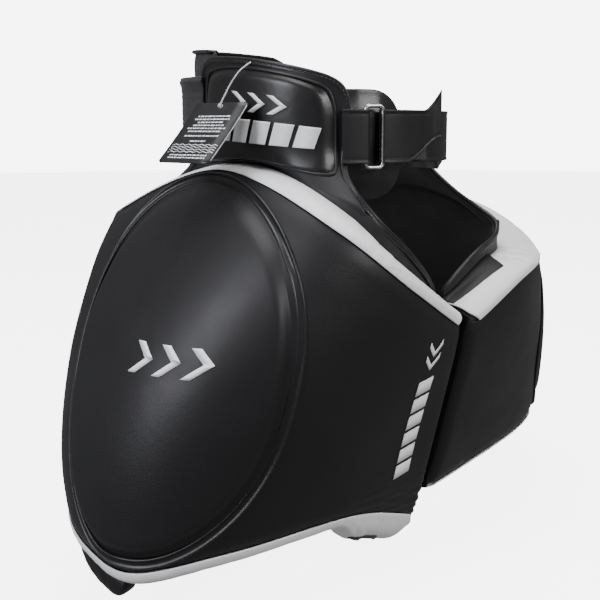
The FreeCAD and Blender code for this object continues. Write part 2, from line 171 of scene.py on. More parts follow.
def shield_point(side, t, z, d):
    """A point of a shield, d inside its outer face."""
    return plan_point(side, t, z, through(HALF_WIDTH, z) - d, through(HALF_DEPTH, z) - d,
                      through(PLAN_CENTRE_Y, z), PLAN_POWER)


def waist_point(name, t, z, d):
    """A point of the waist loop, d inside its outer face."""
    return plan_point(SIDES[name], t, z, WAIST_HALF[name] - d, WAIST_DEPTH - d,
                      WAIST_CENTRE_Y, WAIST_POWER[name])


def pad_depth(z):
    return mix(HIP_DEPTH, PAD_DEPTH, smooth((STATIONS[0] - z) / THINNING))


def front_angle(z, d, x):
    """The plan angle at which the shield's surface is x from the centre line."""
    return degrees(atan2(x / (through(HALF_WIDTH, z) - d), 1.0))


def end_x(d):
    """How near to the centre line a shield comes at depth d, round its turned leather end."""
    inside = END_RADIUS - min(d, END_RADIUS)
    return CENTRE_GAP + END_RADIUS - (END_RADIUS ** 2 - inside ** 2) ** 0.5


def top_edge(name, t):
    return eased(EDGE_ANGLES, TOP_EDGE[name], t)


def bottom_edge(name, t):
    return eased(EDGE_ANGLES, BOTTOM_EDGE[name], t)


def top_roll(t):
    return mix(TOP_ROLL[0], TOP_ROLL[1], min(t / 90.0, 1.0))


def bottom_roll(name, t):
    """The right-hand lower gusset hangs fuller near the front end."""
    fuller = 0.024 * smooth((t - 1.0) / 4.5) * smooth((22.5 - t) / 5.0) if name == "right" else 0.0
    return BOTTOM_ROLL[name] + fuller


def lining_top(name, t):
    """The lining stands above the top gusset, most of all near the front."""
    rise = LINING_RISE * smooth((60 - t) / 30) + 0.011 * smooth(t / 7) * smooth((44 - t) / 26)
    rise += {"right": 0.005, "left": 0.026}[name] * bell(t - 42.0, 8.0)
    return top_edge(name, t) + top_roll(t) + rise


# ---- mesh helpers -----------------------------------------------------------------------
def spaced(count, margin=0.03):
    """Parameters from 0 to 1, with one more close to each end that holds the edge."""
    inner = [mix(margin, 1 - margin, i / count) for i in range(count + 1)]
    return [0.0] + inner + [1.0]


def add_object(name, data):
    made = bpy.data.objects.new(name, data)
    bpy.context.scene.collection.objects.link(made)
    return made


def finish_mesh(name, verts, faces, material, levels=0):
    """An object of these faces, with its normals outwards and smooth shading."""
    mesh = bpy.data.meshes.new(name)
    mesh.from_pydata([tuple(v) for v in verts], [], faces)
    work = bmesh.new()
    work.from_mesh(mesh)
    bmesh.ops.remove_doubles(work, verts=work.verts, dist=1e-6)
    bmesh.ops.recalc_face_normals(work, faces=work.faces)
    for face in work.faces:
        face.smooth = True
    work.to_mesh(mesh)
    work.free()
    mesh.materials.append(material)
    piece = add_object(name, mesh)
    if levels:
        rounding = piece.modifiers.new("rounding", "SUBSURF")
        rounding.levels = rounding.render_levels = levels
    return piece


def block(name, point, us, vs, material, of=(), levels=1):
    """A closed soft-edged piece: point(*of, u, v, w) over the surface of a box of parameters."""
    index, verts, faces = {}, [], []
    last = (len(us) - 1, len(vs) - 1, 1)

    def corner(i, j, k):
        if (i, j, k) not in index:
            index[i, j, k] = len(verts)
            verts.append(point(*of, us[i], vs[j], float(k)))
        return index[i, j, k]
    for axis in range(3):
        p, q = [a for a in range(3) if a != axis]
        for end in (0, last[axis]):
            for a in range(last[p]):
                for b in range(last[q]):
                    ring = []
                    for da, db in ((0, 0), (1, 0), (1, 1), (0, 1)):
                        at = [0, 0, 0]
                        at[axis], at[p], at[q] = end, a + da, b + db
                        ring.append(corner(*at))
                    faces.append(ring)
    return finish_mesh(name, verts, faces, material, levels)


def sweep(name, path, normals, profile, material, closed=False, levels=0):
    """A bar along a path; profile gives its section as (beside, above) the surface it lies on."""
    verts, faces, count, last = [], [], len(profile), len(path)
    for i, (at, normal) in enumerate(zip(path, normals)):
        before = path[i - 1] if i or closed else path[i]
        after = path[(i + 1) % last] if i + 1 < last or closed else path[i]
        beside = (after - before).cross(normal).normalized()
        above = beside.cross(after - before).normalized()
        verts += [at + beside * a + above * b for a, b in profile]
    rings = last if closed else last - 1
    for i in range(rings):
        here, there = i * count, (i + 1) % last * count
        for k in range(count):
            following = (k + 1) % count
            faces.append([here + k, here + following, there + following, there + k])
    if not closed:
        faces.append(list(range(count)))
        faces.append([(last - 1) * count + k for k in range(count)])
    return finish_mesh(name, verts, faces, material, levels)


def globe(name, rows, cols, point, material):
    """A skin over point(u, v): u runs round it, v from its first pole to its last row."""
    verts = [point(j / cols, i / rows) for i in range(rows + 1) for j in range(cols)]
    faces = []
    for i in range(rows):
        for j in range(cols):
            a, b = i * cols + j, i * cols + (j + 1) % cols
            faces.append([a, b, b + cols, a + cols])
    return finish_mesh(name, verts, faces, material)


def line_on(count, point, low, high):
    """A line laid low on a surface, and which way is out: point(k, height) for each k."""
    path = [point(k, low) for k in range(count)]
    return path, [(point(k, high) - at).normalized() for k, at in enumerate(path)]


def oval_profile(half_width, half_height, count=10, groove=0.0):
    """A flattened round section, with an optional stitched groove along its top."""
    profile = []
    for k in range(count):
        angle = 2 * pi * k / count
        a, b = cos(angle), sin(angle)
        dip = groove * bell(a, 0.22) if b > 0 else 0.0
        profile.append((half_width * a, half_height * power(b, 0.8) * (1 - dip)))
    return profile


def resampled(path, pitch):
    """Points every pitch along a path, with the direction at each."""
    out, carry = [], pitch / 2
    for a, b in zip(path, path[1:]):
        span = (b - a).length
        while carry <= span:
            out.append((a.lerp(b, carry / span), (b - a).normalized()))
            carry += pitch
        carry -= span
    return out


def stitch_row(name, path, normal, material, pitch=0.0042, length=0.0027, radius=0.00035):
    """A row of thread stitches along a path; normal(at) says which way the surface faces."""
    verts, faces = [], []
    for at, along in resampled(path, pitch):
        above = normal(at)
        beside = along.cross(above).normalized()
        start = len(verts)
        for reach, size in ((-0.5, 0.35), (-0.3, 1.0), (0.3, 1.0), (0.5, 0.35)):
            for a, b in ((1, 0), (0, 1), (-1, 0), (0, -1)):
                verts.append(at + along * (reach * length) + (beside * a + above * b) * (radius * size))
        for ring in range(3):
            for k in range(4):
                a, b = start + ring * 4 + k, start + ring * 4 + (k + 1) % 4
                faces.append([a, b, b + 4, a + 4])
        faces += [[start + k for k in range(4)], [start + 12 + k for k in range(4)]]
    return finish_mesh(name, verts, faces, material)


def print_marks(name, shapes, place, material, steps=6, thickness=0.0003):
    """Flat printed shapes: each has four corners (a, b), laid by place(a, b, height)."""
    verts, faces = [], []
    for corners in shapes:
        (a0, b0), (a1, b1), (a2, b2), (a3, b3) = corners
        start = len(verts)
        for i in range(steps + 1):
            u = i / steps
            for j in (0.0, 1.0):
                a = mix(mix(a0, a1, u), mix(a3, a2, u), j)
                b = mix(mix(b0, b1, u), mix(b3, b2, u), j)
                verts += [place(a, b, 0.0), place(a, b, thickness)]
        for i in range(steps):
            low = start + i * 4
            for p, q in ((0, 1), (1, 3), (3, 2), (2, 0)):
                faces.append([low + p, low + q, low + 4 + q, low + 4 + p])
        faces += [[start + k for k in (0, 1, 3, 2)], [start + steps * 4 + k for k in (0, 1, 3, 2)]]
    return finish_mesh(name, verts, faces, material)


def settle(piece, body, slot, *nodes):
    """Says what a piece rides on and which nodes it stands for. The slot, its finish, is not used."""
    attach(piece, body)
    if nodes:
        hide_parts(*nodes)
    return piece


def settle_bending(piece, name, slot, *nodes):
    """For what crosses the crease: hides the nodes it stands for and bakes its placement into its mesh; it
    is attached to no body and does not bend. The name and the slot are not used.
    """
    if nodes:
        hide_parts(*nodes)
    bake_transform(piece)
    return piece


# ---- materials --------------------------------------------------------------------------
def set_inputs(made, values):
    for key, value in values.items():
        made.inputs[key].default_value = value


def blank(name, colour, roughness, metallic=0.0):
    material = bpy.data.materials.new(name)
    material.use_nodes = True
    shader = material.node_tree.nodes["Principled BSDF"]
    set_inputs(shader, {"Base Color": (*colour, 1.0), "Roughness": roughness, "Metallic": metallic})
    return material, material.node_tree, shader


def node(tree, kind, values=None, **settings):
    made = tree.nodes.new(kind)
    for key, value in settings.items():
        setattr(made, key, value)
    set_inputs(made, values or {})
    return made


def mapped(tree, made):
    """Lays a texture out by the object's own coordinates."""
    place = node(tree, "ShaderNodeTexCoord")
    tree.links.new(place.outputs["Object"], made.inputs["Vector"])
    return made


def scaled_noise(tree, scale, detail=3.0, roughness=0.5):
    values = {"Scale": scale, "Detail": detail, "Roughness": roughness}
    return mapped(tree, node(tree, "ShaderNodeTexNoise", values)).outputs["Fac"]


def ranged(tree, source, low, high, first=0.3, last=0.7):
    """The source's stretch from first to last, spread from low to high."""
    made = node(tree, "ShaderNodeMapRange",
                {"From Min": first, "From Max": last, "To Min": low, "To Max": high})
    tree.links.new(source, made.inputs["Value"])
    return made.outputs["Result"]


def combined(tree, first, second, **settings):
    made = node(tree, "ShaderNodeMath", **settings)
    tree.links.new(first, made.inputs[0])
    tree.links.new(second, made.inputs[1])
    return made.outputs["Value"]


def toned(tree, shader, factor, dark, light):
    """The base colour runs from dark to light with factor."""
    made = node(tree, "ShaderNodeMix", data_type="RGBA")
    made.inputs["A"].default_value = (*dark, 1.0)
    made.inputs["B"].default_value = (*light, 1.0)
    tree.links.new(factor, made.inputs["Factor"])
    tree.links.new(made.outputs["Result"], shader.inputs["Base Color"])


def bumped(tree, shader, layers):
    """Stacked bumps: (height output, strength, distance in metres)."""
    previous = None
    for height, strength, distance in layers:
        made = node(tree, "ShaderNodeBump", {"Strength": strength, "Distance": distance})
        tree.links.new(height, made.inputs["Height"])
        if previous:
            tree.links.new(previous.outputs["Normal"], made.inputs["Normal"])
        previous = made
    tree.links.new(previous.outputs["Normal"], shader.inputs["Normal"])


def leather(name, dark, light, roughness, grain=0.0013, coat=0.2, creases=0.3):
    """Coated leather: pebbled grain, soft creases, rubbed edges and uneven gloss."""
    material, tree, shader = blank(name, dark, roughness)
    pebbles = mapped(tree, node(tree, "ShaderNodeTexVoronoi", {"Scale": 1 / grain, "Smoothness": 0.6},
                                feature="SMOOTH_F1"))
    wrinkles = scaled_noise(tree, 38.0, 5.0, 0.6)
    soft = scaled_noise(tree, 9.0, 2.0)
    edges = node(tree, "ShaderNodeNewGeometry").outputs["Pointiness"]
    rubbed = ranged(tree, edges, 0.0, 0.5, 0.50, 0.60)
    patches = ranged(tree, scaled_noise(tree, 6.0, 3.0), 0.0, 0.55)
    toned(tree, shader, combined(tree, rubbed, patches, operation="ADD", use_clamp=True), dark, light)
    gloss = ranged(tree, scaled_noise(tree, 17.0, 4.0), roughness - 0.05, roughness + 0.07)
    tree.links.new(gloss, shader.inputs["Roughness"])
    set_inputs(shader, {"Coat Weight": coat, "Coat Roughness": 0.32, "Specular IOR Level": 0.36})
    bumped(tree, shader, [(pebbles.outputs["Distance"], 0.22, 0.0004), (wrinkles, creases, 0.0008),
                          (soft, 0.25, 0.004)])
    return material


def woven(name, dark, light, roughness, pitch, slant=0.0, strength=0.6):
    """Cloth or webbing: two crossing rows of threads and a slow change of tone."""
    material, tree, shader = blank(name, dark, roughness)
    turn = mapped(tree, node(tree, "ShaderNodeMapping", {"Rotation": (0.0, slant, slant)}))
    rows = []
    for direction in ("X", "Z"):
        wave = node(tree, "ShaderNodeTexWave", {"Scale": 0.314 / pitch, "Distortion": 0.4, "Detail": 1.0},
                    bands_direction=direction)
        tree.links.new(turn.outputs["Vector"], wave.inputs["Vector"])
        rows.append(wave.outputs["Fac"])
    cross = combined(tree, *rows, operation="MULTIPLY")
    toned(tree, shader, ranged(tree, scaled_noise(tree, 30.0), 0.0, 1.0), dark, light)
    set_inputs(shader, {"Sheen Weight": 0.15, "Sheen Roughness": 0.5})
    bumped(tree, shader, [(cross, strength, 0.0005), (scaled_noise(tree, 45.0), 0.2, 0.001)])
    return material


def fuzzy(name, dark, light, scale, strength):
    """Hook-and-loop fabric, suede or foam: a dense uneven nap."""
    material, tree, shader = blank(name, dark, 0.9)
    nap = scaled_noise(tree, scale, 6.0, 0.7)
    toned(tree, shader, nap, dark, light)
    shader.inputs["Sheen Weight"].default_value = 0.2
    bumped(tree, shader, [(nap, strength, 0.0008)])
    return material


def polished_steel():
    material, tree, shader = blank("steel", (0.50, 0.50, 0.52), 0.2, 1.0)
    tree.links.new(ranged(tree, scaled_noise(tree, 160.0, 5.0), 0.14, 0.34), shader.inputs["Roughness"])
    bumped(tree, shader, [(scaled_noise(tree, 420.0, 3.0), 0.08, 0.0002)])
    return material


def printed(name, dark, light, roughness):
    """Printed ink or coated card, a little worn and uneven."""
    material, tree, shader = blank(name, dark, roughness)
    toned(tree, shader, ranged(tree, scaled_noise(tree, 90.0, 5.0), 0.0, 1.0), dark, light)
    bumped(tree, shader, [(scaled_noise(tree, 700.0, 2.0), 0.12, 0.0002)])
    return material


BLACK = leather("black_leather", (0.0045, 0.0045, 0.0055), (0.010, 0.010, 0.012), 0.50, coat=0.06,
                creases=0.4)
GLOSSY = leather("glossy_leather", (0.0050, 0.0050, 0.0055), (0.012, 0.012, 0.013), 0.33, coat=0.2,
                 creases=0.5)
WHITE = leather("white_leather", (0.88, 0.89, 0.91), (0.93, 0.94, 0.95), 0.42, grain=0.0011, creases=0.4)
PIPING = leather("piping_leather", (0.0055, 0.0055, 0.006), (0.014, 0.014, 0.015), 0.38, coat=0.15)
LINING = woven("lining_fabric", (0.006, 0.006, 0.007), (0.013, 0.013, 0.014), 0.85, 0.0011, slant=0.6)
WEBBING = woven("webbing", (0.010, 0.010, 0.011), (0.024, 0.024, 0.025), 0.70, 0.0014)
HOOKS = fuzzy("hook_fabric", (0.010, 0.010, 0.010), (0.05, 0.05, 0.05), 900.0, 0.8)
SUEDE = fuzzy("belt_suede", (0.055, 0.026, 0.012), (0.11, 0.055, 0.028), 300.0, 0.4)
FOAM = fuzzy("foam", (0.28, 0.28, 0.26), (0.42, 0.42, 0.40), 500.0, 0.6)
STEEL = polished_steel()
INK = printed("white_print", (0.90, 0.92, 0.94), (0.94, 0.95, 0.96), 0.45)
CARD = printed("tag_card", (0.006, 0.006, 0.008), (0.016, 0.016, 0.019), 0.38)
CARD_EDGE = printed("card_edge", (0.45, 0.45, 0.44), (0.60, 0.60, 0.58), 0.6)
THREAD = woven("thread", (0.55, 0.56, 0.58), (0.80, 0.80, 0.80), 0.6, 0.0006)
DARK_THREAD = woven("dark_thread", (0.030, 0.030, 0.034), (0.060, 0.060, 0.064), 0.6, 0.0006)


# ---- camera -----------------------------------------------------------------------------
LOOK_AT = Vector((0.0, 0.0, -0.158))
AZIMUTH, ELEVATION, DISTANCE = radians(-46.5455), radians(9.5697), 1.00635


def add_camera():
    back = Vector((sin(AZIMUTH) * cos(ELEVATION), -cos(AZIMUTH) * cos(ELEVATION), sin(ELEVATION)))
    lens = bpy.data.cameras.new("camera")
    lens.lens, lens.sensor_width = 51.195, 36.0
    lens.shift_x, lens.shift_y = -0.0496, -0.0486
    lens.clip_start = 0.05
    camera = add_object("camera", lens)
    camera.location = LOOK_AT + back * DISTANCE
    camera.rotation_euler = back.to_track_quat("Z", "Y").to_euler()
    bpy.context.scene.camera = camera


# ---- the tag's string -------------------------------------------------------------------
def add_string():
    """The thin white string, from the badge's upper seam down to a knot at the tag's eyelet."""
    curve = bpy.data.curves.new("tag_cord", "CURVE")
    curve.dimensions = "3D"
    curve.bevel_depth, curve.bevel_resolution, curve.resolution_u = 0.00075, 3, 16
    line = curve.splines.new("NURBS")
    line.points.add(len(STRING_ROUTE) - 1)
    for at, place in zip(line.points, STRING_ROUTE):
        at.co = (*place, 1.0)
    line.order_u = 3
    line.use_endpoint_u = True
    curve.materials.append(THREAD)
    string = add_object("tag_cord", curve)
    end = Vector(STRING_ROUTE[-1])

    def knot(u, v):
        theta, phi = 2 * pi * u, pi * v
        size = 0.0019 * (1.0 + 0.22 * sin(3 * theta + 4 * phi))
        return end + Vector((sin(phi) * cos(theta), sin(phi) * sin(theta), cos(phi))) * size
    tied = globe("string_knot", 8, 12, knot, THREAD)
    settle(string, "root", "tag_string", "tag_string")
    settle(tied, "root", "tag_string")
    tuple(STRING_ROUTE[0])


# ---- shields ----------------------------------------------------------------------------
def depth_profile(d, depth, sharpness=2.6):
    """How far over the gusset's arch a depth lies: 0 at the outer seam, 1 at the lining."""
    inside = min(max(1 - d / depth, 0.0), 1.0)
    return (1 - inside ** sharpness) ** (1 / sharpness)


def face_relief(name, t, z):
    """How far inwards the face lies: sunk along its seams, and its slow ripples."""
    seam = min(abs(z - bottom_edge(name, t)), abs(z - top_edge(name, t)))
    puff = -0.0015 * smooth(seam / 0.04) + 0.0022 * bell(seam, 0.006)
    return puff, uneven(t * 0.05, z * 14, SIDES[name] * 3.0) * 0.0016 * smooth(seam / 0.03)


def face_point(name, u, v, w):
    """The black face: u runs from the turned front end to the rear, v from bottom to top."""
    side = SIDES[name]
    roll = min(u / END_TURN, 1.0)
    run = max((u - END_TURN) / (1 - END_TURN), 0.0)
    t = mix(2.0, REAR_ANGLE - 0.7, run)
    for _ in range(3):
        z = mix(bottom_edge(name, t), top_edge(name, t), v)
        t = mix(front_angle(z, 0.0, CENTRE_GAP + END_RADIUS), REAR_ANGLE - 0.7, run)
    puff, ripple = face_relief(name, t, z)
    gather = smooth((0.070 - (z - bottom_edge(name, t))) / 0.05) * smooth((24 - t) / 14) * (side < 0)
    puckers = 0.0021 * gather * sin(z * 2 * pi / 0.0105 + 2.5 * uneven(t * 0.3, z * 60, 0.0))
    d = w * COVER + puff + ripple + puckers
    if roll < 1.0:
        angle = roll * pi / 2
        reach = END_RADIUS - w * COVER - puckers
        x = CENTRE_GAP + END_RADIUS - reach * cos(angle)
        d = END_RADIUS - reach * sin(angle) + puff
        return shield_point(side, front_angle(z, d, x), z, d)
    return shield_point(side, t, z, d)


def gusset_point(name, upper, u, v, w):
    """The white gusset arches from the face's seam (v 0) over to the lining (v 1)."""
    side = SIDES[name]
    angle = v * pi / 2
    over, rise = 1 - cos(angle) ** 0.77, sin(angle) ** 0.77
    t = mix(2.0, REAR_ANGLE - 0.9, u)
    for _ in range(3):
        edge = top_edge(name, t) if upper else bottom_edge(name, t)
        depth = pad_depth(edge) - COVER
        d = over * depth
        t = mix(front_angle(edge, d, end_x(d) + 0.0006), REAR_ANGLE - 0.9, u)
    height = top_roll(t) if upper else -bottom_roll(name, t)
    if upper:
        gather = bell(t - 34.0, 13.0)
    else:
        gather = (1.3 if name == "right" else 0.2) * bell(t - 17.0, 7.0)
    depth_of_folds = 0.0065 if upper and name == "left" else 0.0036
    folds = uneven(t * 1.1, v * 1.2, side * 2.0 + upper) * depth_of_folds * gather
    folds += uneven(t * 0.35, v * 2.0, 5.0 + upper) * 0.0009
    folds *= smooth(v / 0.12) * smooth((1.0 - v) / 0.15)
    inward = w * COVER - folds
    d += inward * cos(angle)
    z = edge + height * rise - copysign(inward * sin(angle), height)
    return shield_point(side, t, z, d)


def lining_point(name, u, v, w):
    side = SIDES[name]
    t = mix(2.0, REAR_ANGLE - 0.9, u)
    for _ in range(3):
        low = bottom_edge(name, t) - bottom_roll(name, t)
        z = mix(low, lining_top(name, t), v)
        d = pad_depth(z) - COVER * (1 - w)
        t = mix(front_angle(z, d, CENTRE_GAP + COVER + 0.0004), REAR_ANGLE - 0.9, u)
    edge = min(v, 1 - v, u, 1 - u)
    quilt = 0.0012 * smooth(edge / 0.1) * (1 + uneven(t * 0.06, z * 18, side))
    return shield_point(side, t, z, d + w * quilt)


def end_plate_point(name, front, u, v, w):
    """The flat leather that closes a shield's front or rear end, arched as the gussets are."""
    side = SIDES[name]
    t = 0.0 if front else REAR_ANGLE - 0.6
    depth = pad_depth(mix(top_edge(name, t), bottom_edge(name, t), 0.5 if front else 1 - v))
    d = mix(END_RADIUS * 0.55 if front else 0.001, depth - 0.0005, u)
    arch = depth_profile(d, depth)
    low = bottom_edge(name, t) - bottom_roll(name, t) * arch + 0.0008
    high = top_edge(name, t) + top_roll(t) * arch - 0.0008
    z = mix(low, high, v)
    swell = 0.0015 * sin(pi * u) * smooth(min(v, 1 - v) / 0.08)
    if front:
        at = shield_point(side, 0.0, z, d)
        at.x = side * (max(end_x(d), CENTRE_GAP) + w * COVER - swell * 0.6)
        return at
    return shield_point(side, t + w * 0.5 + swell * 60, z, d)


def flange_point(name, u, v, w):
    """Black leather along the inner half of the rim, from the front end to a slanted cut."""
    side = SIDES[name]
    near, cut = {"right": (0.030, (20.5, 17.0)), "left": (0.020, (19.0, 24.5))}[name]
    d = mix(mix(0.030, near, u), PAD_DEPTH - COVER, v)
    t = mix(front_angle(-0.19, d, CENTRE_GAP + 0.0012), mix(*cut, v), u)
    edge = top_edge(name, t)
    depth = pad_depth(edge) - COVER
    rise = top_roll(t) * depth_profile(d, depth)
    lift = 0.0009 + 0.003 * smooth((v - 0.6) / 0.4)
    return shield_point(side, t, edge + rise + lift - 0.0016 * (1 - w), d)


def foam_point(name, u, v, w):
    side = SIDES[name]
    t = mix(3.0, REAR_ANGLE - 1.6, u)
    for _ in range(3):
        z = mix(bottom_edge(name, t) + 0.001, top_edge(name, t) - 0.001, v)
        d = mix(0.0055, pad_depth(z) - 0.006, w)
        t = mix(front_angle(z, d, CENTRE_GAP + 0.0065), REAR_ANGLE - 1.6, u)
    return shield_point(side, t, z, d)


def flap_point(name, u, v, w):
    """The rounded leather flap that hangs below the shield at the outside of the knee."""
    side = SIDES[name]
    start, drop = 74.0, 0.016
    t = mix(start, REAR_ANGLE - 1.2, u)
    corner = (1 - (1 - min(u / 0.30, 1.0)) ** 2) ** 0.5 * (1 - max((u - 0.85) / 0.15, 0.0) ** 3)
    foot = bottom_edge(name, t) - BOTTOM_ROLL[name]
    swell = 0.002 * sin(pi * v) * (1 if w < 0.5 else -1)
    crease = uneven(t * 0.25, v * 2, side) * 0.0012
    z, d = mix(foot - drop * corner, foot + 0.006, v), mix(0.008, 0.022, w) - swell + crease
    return shield_point(side, t, z, d)


def add_painted_fold_shade():
    """A dark strip laid on the right-hand lower gusset where its gathers are sewn down: painted shade in the
    fold.
    """
    path, normals = [], []
    for i in range(13):
        u = mix(0.083, 0.150, i / 12)
        at, under = (gusset_point("right", False, u, 0.50, w) for w in (0.0, 1.0))
        above = (at - under).normalized()
        path.append(at + above * 0.0004)
        normals.append(above)
    # painted shade: a dark lining-fabric strip on the white gusset, standing for the shade in the gathers'
    # fold
    tuck = sweep("right_gusset_painted_fold_shade", path, normals, oval_profile(0.0042, 0.0012), LINING, levels=1)
    settle(tuck, "right_shield", "lining_fabric")


def add_shield(name):
    turn = [0.0, 0.012, 0.027, 0.042, END_TURN]
    face_us = turn + [mix(END_TURN, 1.0, i / 66) for i in range(1, 66)] + [0.996, 1.0]
    gusset, end = (spaced(110, 0.004), spaced(10, 0.03)), (spaced(8, 0.04), spaced(24, 0.01))
    lining, flap = (spaced(60, 0.01), spaced(34, 0.01)), (spaced(20), spaced(5, 0.08))
    parts = (("face", face_point, (), (face_us, spaced(56, 0.008)), BLACK, "black_leather", ["front_cover"]),
             ("top_gusset_arch", gusset_point, (True,), gusset, WHITE, "white_leather", ["top_gusset"]),
             ("bottom_gusset_arch", gusset_point, (False,), gusset, WHITE, "white_leather",
              ["bottom_gusset"]),
             ("inner_lining", lining_point, (), lining, LINING, "lining_fabric", ["lining"]),
             ("front_end", end_plate_point, (True,), end, BLACK, "black_leather", ["centre_gusset"]),
             ("rear_end", end_plate_point, (False,), end, BLACK, "black_leather", ["rear_gusset"]),
             ("rim_flange", flange_point, (), (spaced(16), spaced(5)), BLACK, "black_leather", []),
             ("foam_block", foam_point, (), (spaced(40), spaced(24)), FOAM, "foam", ["foam_core"]),
             ("leather_flap", flap_point, (), flap, BLACK, "black_leather", ["knee_flap"]))
    for part, point, choice, (us, vs), material, slot, nodes in parts:
        piece = block(f"{name}_{part}", point, us, vs, material, of=(name, *choice))
        settle(piece, f"{name}_shield", slot, *[f"{name}_{n}" for n in nodes])


# ---- strike pad -------------------------------------------------------------------------
def oval(name, phi, reach, d):
    """A point of the strike pad: phi round its outline, reach 1 at its edge, d below the face."""
    squareness = OVAL_POWER[0] if sin(phi) > 0 else OVAL_POWER[1]
    up = power(sin(phi), 2 / squareness) * reach
    out = power(cos(phi), 2 / squareness) * reach
    t = OVAL_ANGLES[0] + OVAL_BEND[0] * up * up + OVAL_BEND[1] * up + OVAL_ANGLES[1] * out
    middle, half = OVAL_HEIGHTS[name]
    return shield_point(SIDES[name], t, middle + half * up, d)


def pad_height(name, reach):
    """A sewn channel at the edge, a firm shoulder, then a nearly flat crown."""
    shoulder = smooth((0.985 - reach) / 0.075)
    return 0.0010 + PAD_FULLNESS[name] * (0.0070 * shoulder + 0.0022 * smooth((0.92 - reach) / 0.9))


def pad_rise(name, at, reach):
    """How far the pad stands over the face at a point, with its slow dents."""
    dent = uneven(at.x * 9, at.y * 9, at.z * 9) * 0.0014 * smooth((0.95 - reach) / 0.2)
    return pad_height(name, reach) + dent


def add_strike_pad(name):
    body = f"{name}_shield"
    rings = [0.0, 0.12, 0.24, 0.36, 0.47, 0.57, 0.66, 0.73, 0.79, 0.84, 0.88, 0.91, 0.94, 0.965, 0.985, 1.0]
    count = 96
    verts, faces = [oval(name, 0.0, 0.0, -pad_height(name, 0.0))], []
    for reach in rings[1:]:
        for k in range(count):
            phi = 2 * pi * k / count
            verts.append(oval(name, phi, reach, -pad_rise(name, oval(name, phi, reach, 0.0), reach)))
    lower = len(verts)
    verts += [oval(name, 2 * pi * k / count, 1.0, 0.0012) for k in range(count)]
    verts.append(oval(name, 0.0, 0.0, 0.0005))
    for k in range(count):
        a, b = k, (k + 1) % count
        faces.append([0, 1 + a, 1 + b])
        for ring in range(len(rings) - 2):
            low = 1 + ring * count
            faces.append([low + a, low + b, low + count + b, low + count + a])
        outer = lower - count
        faces.append([outer + a, outer + b, lower + b, lower + a])
        faces.append([lower + a, lower + b, lower + count])
    pad = finish_mesh(f"{name}_strike_cushion", verts, faces, BLACK, 1)
    settle(pad, body, "black_leather", f"{name}_strike_pad")

    def beside(k, height):
        return oval(name, 2 * pi * k / 180, 1.028, -height)
    path, normals = line_on(180, beside, 0.0008, 0.01)
    ridges = [(-0.0052, -0.001), (-0.0050, 0.0012), (-0.0040, 0.0024), (-0.0029, 0.0023), (-0.0020, 0.0010),
              (0.0, 0.0006), (0.0020, 0.0010), (0.0029, 0.0023), (0.0040, 0.0024), (0.0050, 0.0012),
              (0.0052, -0.001)]
    piping = sweep(f"{name}_double_piping", path, normals, ridges, PIPING, closed=True, levels=1)
    settle(piping, body, "piping", f"{name}_strike_piping")


# ---- hip tab, binding and badge pad -----------------------------------------------------
def tab_point(name, u, v, d):
    """A point of the hip tab: v 0 at its foot, 0.4 at the fold, 1 at its top edge."""
    side = SIDES[name]
    t_low, t_high = mix(*TAB_LOW[name], u), mix(*TAB_HIGH[name], u)
    foot_z = lining_top(name, t_low) + 0.0014
    foot = shield_point(side, t_low, foot_z, pad_depth(foot_z) - TAB_THICKNESS)
    fold = waist_point(name, t_high, TAB_FOLD, 0.0)
    share = min(max(u, 0.0), 1.0)
    top_z = mix(*TAB_TOP[name], share ** 0.8) + TAB_CROWN[name] * sin(pi * share)
    top = waist_point(name, t_high, top_z, 0.0)
    bend = 0.14                          # how soft the fold is, in v
    if v < 0.0:
        at = foot + Vector((0.0, 0.0, v * 0.1))
    elif v < 0.4 - bend:
        at = foot.lerp(fold, v / 0.4)
    elif v > 0.4 + bend:
        at = fold.lerp(top, (v - 0.4) / 0.6)
    else:
        s = (v - 0.4 + bend) / (2 * bend)
        low, high = foot.lerp(fold, (0.4 - bend) / 0.4), fold.lerp(top, bend / 0.6)
        at = low.lerp(fold, s).lerp(fold.lerp(high, s), s)
    near, far = waist_point(name, t_high, 0.0, 0.0), waist_point(name, t_high, 0.0, 0.001)
    return at - (near - far).normalized() * d


def tab_edges(v):
    """The tab's first and last u at height v: flared at its foot, rounded at its top."""
    flare = 0.055 * smooth(v / 0.22) * smooth((0.62 - v) / 0.4)
    corner = max((v - 0.88) / 0.12, 0.0)
    rounding = 1 - (1 - min(corner, 1.0) ** 2) ** 0.5
    return flare * 0.8 + 0.06 * rounding, 1 - flare * 0.5 - 0.08 * rounding


def tab_sheet(name, near, far, u, v, w):
    v = mix(-0.05, 1.0, v)               # its foot overlaps the lining's edge
    first, last = tab_edges(max(v, 0.0))
    d = mix(near, far, w)
    soft = uneven(u * 5, v * 4, SIDES[name] * 7.0) * 0.0012
    return tab_point(name, mix(first, last, u), v, d + soft * smooth(min(u, 1 - u) / 0.1))


def back_outline(name):
    """The bound outline: along the lining's edge, up round the tab and down to the rear."""
    side, middle = SIDES[name], TAB_THICKNESS / 2

    def lining_edge(t):
        z = lining_top(name, t)
        return shield_point(side, t, z, pad_depth(z) - COVER * 0.5)
    reach = {"right": 13, "left": 15}[name]
    path = [lining_edge(t) for t in [1.6] + [1 + 3 * k for k in range(1, reach)]]
    heights = (0.06, 0.12, 0.18, 0.25, 0.32, 0.4, 0.48, 0.56, 0.64, 0.72, 0.80, 0.86, 0.91, 0.95, 0.98)
    path += [tab_point(name, tab_edges(v)[0], v, middle) for v in heights]
    path += [tab_point(name, mix(0.06, 0.92, i / 16), 1.0, middle) for i in range(17)]
    path += [tab_point(name, tab_edges(v)[1], v, middle) for v in (*reversed(heights), 0.01)]
    for _ in range(3):                   # ease the corners between the stretches
        inner = [(a + b * 2 + c) / 4 for a, b, c in zip(path, path[1:], path[2:])]
        path = path[:1] + inner + path[-1:]
    return path


